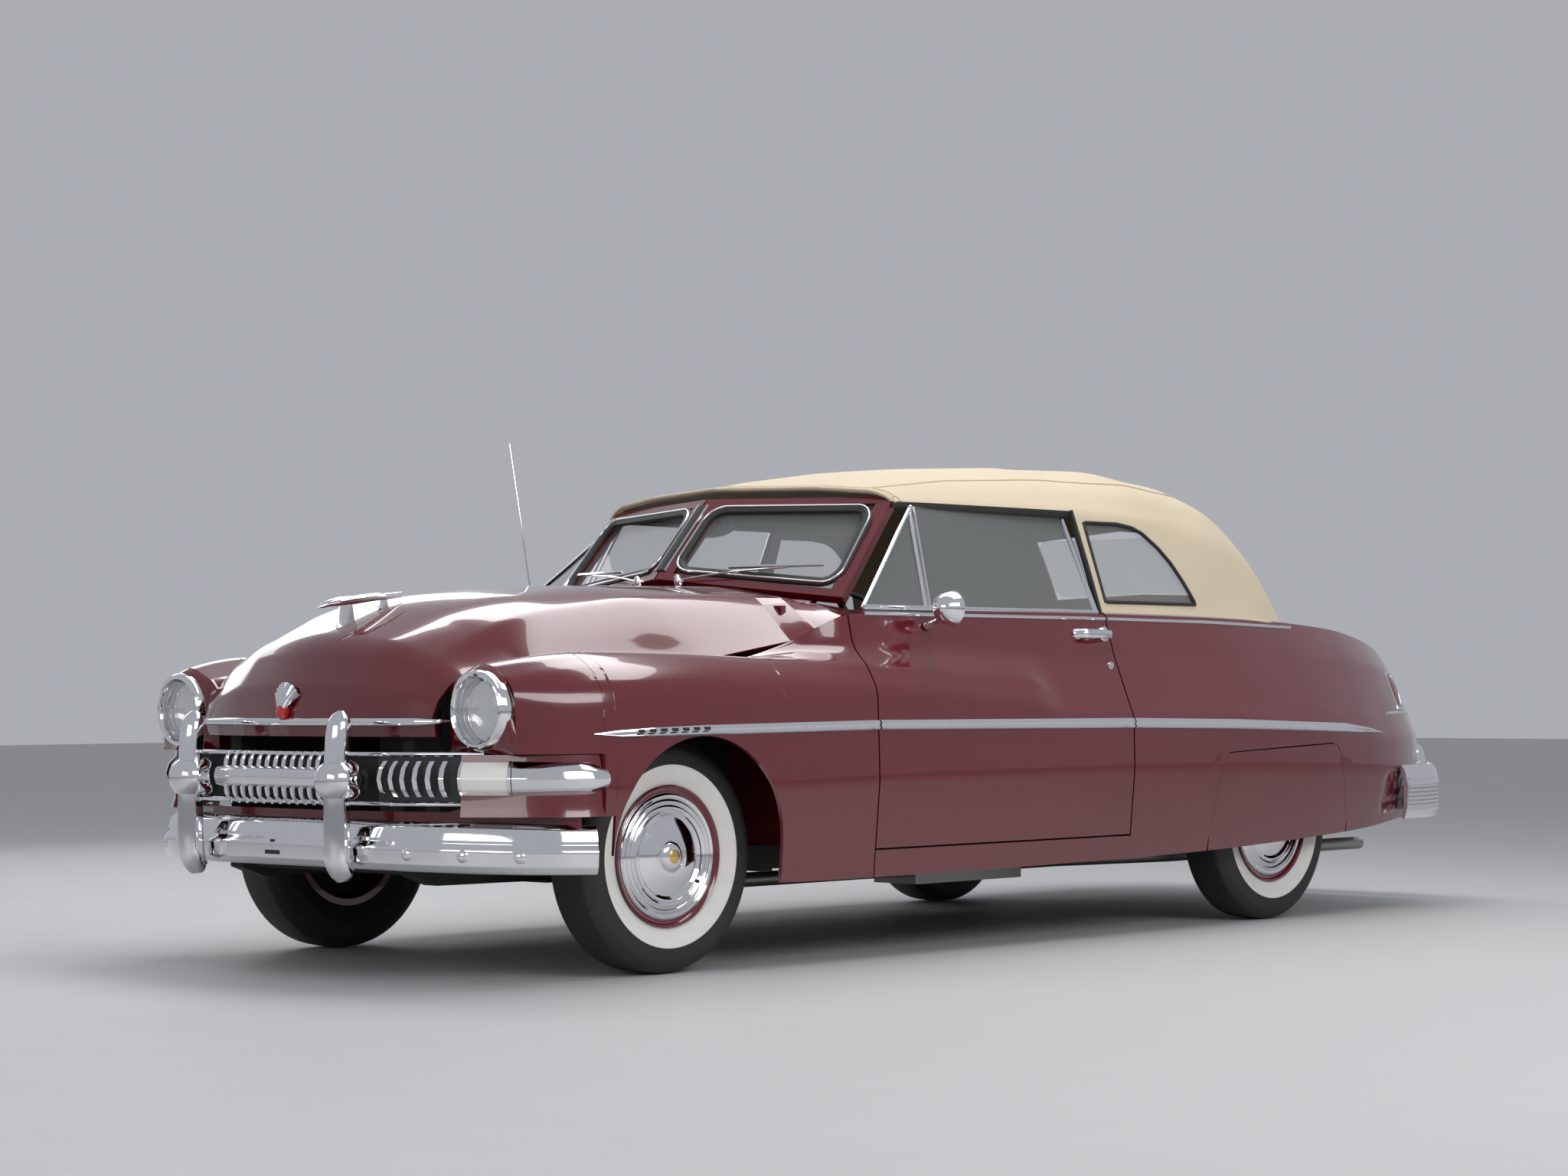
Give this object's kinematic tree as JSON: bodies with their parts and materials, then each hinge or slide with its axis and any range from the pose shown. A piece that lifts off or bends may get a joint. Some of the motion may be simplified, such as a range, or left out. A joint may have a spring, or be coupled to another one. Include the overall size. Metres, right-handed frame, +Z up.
{
  "type": "two-door convertible car",
  "caption": "Full-size 1950s two-door convertible with raised canvas top, toothed chrome grille, steered front wheels, opening doors, hood and decklid.",
  "frame": {"origin": "on the ground, under the centre of the bounding box", "axes": "+X to the car's left, +Y towards the rear, +Z up"},
  "size_m": [1.9937, 5.255, 1.634],
  "materials": {
    "paint": "gloss maroon",
    "chrome": "polished",
    "wheel_cover": "polished",
    "tyre": "matt black with a white wall",
    "glass": "clear",
    "red_lens": "red lens",
    "canvas": "woven",
    "frame_black": "satin black",
    "steel": "dull",
    "iron": "painted",
    "seat": "black",
    "dash_paint": "satin maroon",
    "black_plastic": "gloss"
  },
  "bodies": {
    "body": {"body_tub": "paint", "chassis_frame": "frame_black", "dashboard": "dash_paint", "driveshaft": "frame_black", "engine": "iron", "engine_bay_sides": "frame_black", "exhaust": "steel", "floor_pan": "frame_black", "front_bumper": "chrome", "front_fender_left": "paint", "front_fender_right": "paint", "front_lamp_lenses": "glass", "front_seat": "seat", "front_valance": "paint", "fuel_tank": "frame_black", "grille": "chrome", "headlamp_bezels": "chrome", "quarter_glass": "glass", "rear_axle": "frame_black", "rear_bumper": "chrome", "rear_seat": "seat", "rear_skirts": "paint", "soft_top": "canvas", "steering_wheel": "black_plastic", "tail_lamps": "red_lens", "windshield_frame": "paint", "windshield_glass": "glass"},
    "hood": {"hood": "paint", "hood_ornament": "chrome"},
    "decklid": {"decklid": "paint"},
    "door_left": {"door_left": "paint", "door_glass_left": "glass", "door_mirror": "chrome"},
    "door_right": {"door_right": "paint", "door_glass_right": "glass"},
    "knuckle_left": {"knuckle_left": "frame_black"},
    "knuckle_right": {"knuckle_right": "frame_black"},
    "wheel_front_left": {"tyre_front_left": "tyre", "wheel_front_left": "wheel_cover"},
    "wheel_front_right": {"tyre_front_right": "tyre", "wheel_front_right": "wheel_cover"},
    "wheel_rear_left": {"tyre_rear_left": "tyre", "wheel_rear_left": "wheel_cover"},
    "wheel_rear_right": {"tyre_rear_right": "tyre", "wheel_rear_right": "wheel_cover"}
  },
  "joints": [
    {"name": "steer_left", "type": "hinge", "parent": "body", "child": "knuckle_left", "pos_m": [0.68, -1.7125, 0.345], "axis": [0, 0, 1], "range_deg": [-33, 33]},
    {"name": "steer_right", "type": "hinge", "parent": "body", "child": "knuckle_right", "pos_m": [-0.68, -1.7125, 0.345], "axis": [0, 0, 1], "range_deg": [-33, 33]},
    {"name": "spin_front_left", "type": "hinge", "parent": "knuckle_left", "child": "wheel_front_left", "pos_m": [0.743, -1.7125, 0.345], "axis": [1, 0, 0], "continuous": true},
    {"name": "spin_front_right", "type": "hinge", "parent": "knuckle_right", "child": "wheel_front_right", "pos_m": [-0.743, -1.7125, 0.345], "axis": [1, 0, 0], "continuous": true},
    {"name": "spin_rear_left", "type": "hinge", "parent": "body", "child": "wheel_rear_left", "pos_m": [0.762, 1.2845, 0.345], "axis": [1, 0, 0], "continuous": true},
    {"name": "spin_rear_right", "type": "hinge", "parent": "body", "child": "wheel_rear_right", "pos_m": [-0.762, 1.2845, 0.345], "axis": [1, 0, 0], "continuous": true},
    {"name": "door_left_hinge", "type": "hinge", "parent": "body", "child": "door_left", "pos_m": [0.978, -0.9645, 0.6], "axis": [0, 0, -1], "range_deg": [0, 65]},
    {"name": "door_right_hinge", "type": "hinge", "parent": "body", "child": "door_right", "pos_m": [-0.978, -0.9645, 0.6], "axis": [0, 0, 1], "range_deg": [0, 65]},
    {"name": "hood_hinge", "type": "hinge", "parent": "body", "child": "hood", "pos_m": [0, -1.1475, 1.168], "axis": [-1, 0, 0], "range_deg": [0, 45]},
    {"name": "decklid_hinge", "type": "hinge", "parent": "body", "child": "decklid", "pos_m": [0, 1.7395, 1.08], "axis": [1, 0, 0], "range_deg": [0, 60]}
  ],
  "couplings": [
    {"joint": "steer_right", "follows": "steer_left", "ratio": 1}
  ]
}
